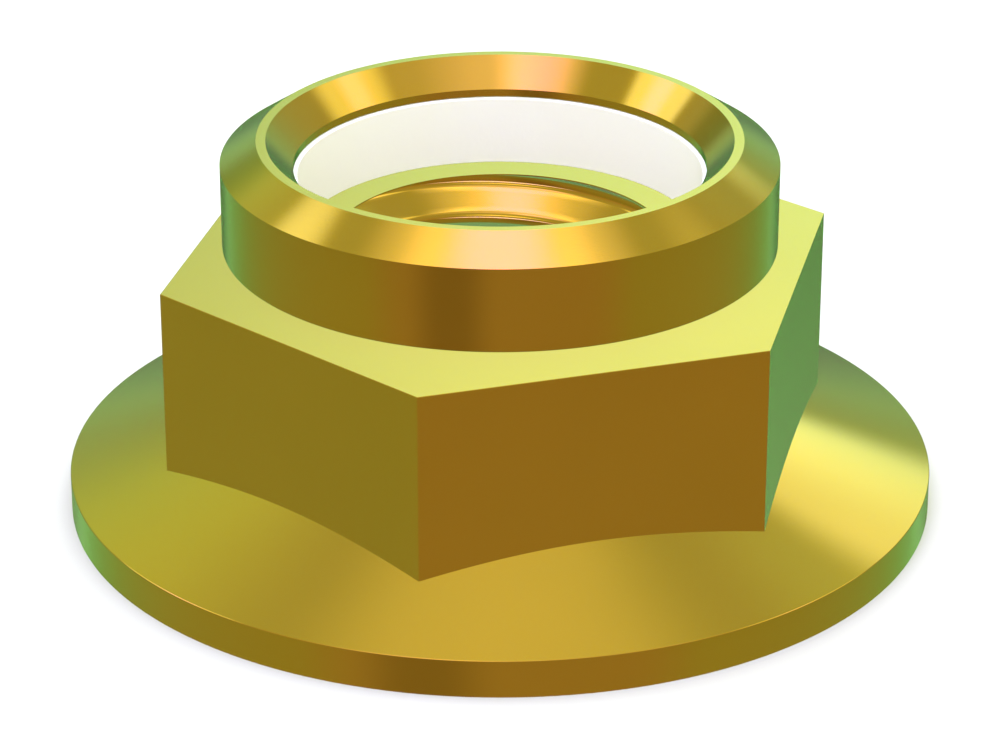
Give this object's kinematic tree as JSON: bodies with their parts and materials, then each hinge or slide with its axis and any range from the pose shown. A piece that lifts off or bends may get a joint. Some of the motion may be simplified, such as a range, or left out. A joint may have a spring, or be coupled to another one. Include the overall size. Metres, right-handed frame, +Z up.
{
  "type": "nylon insert lock nut",
  "caption": "Flanged hexagon nut with a nylon ring trapped in its crown; the ring grips the bolt's thread so that the nut stays tight under vibration.",
  "frame": {"origin": "centre of the flange's flat bearing face, at the bottom of the nut", "axes": "+Z up the thread axis from the bearing face to the crown that holds the ring; two opposite corners of the hexagon lie on the X axis"},
  "size_m": [0.0218, 0.0218, 0.0096],
  "materials": {
    "plated_steel": "satin yellow chromate over zinc, iridescent from gold to green",
    "nylon": "smooth warm white nylon"
  },
  "bodies": {
    "root": {"nut_body": "plated_steel", "nylon_insert": "nylon"}
  },
  "joints": []
}
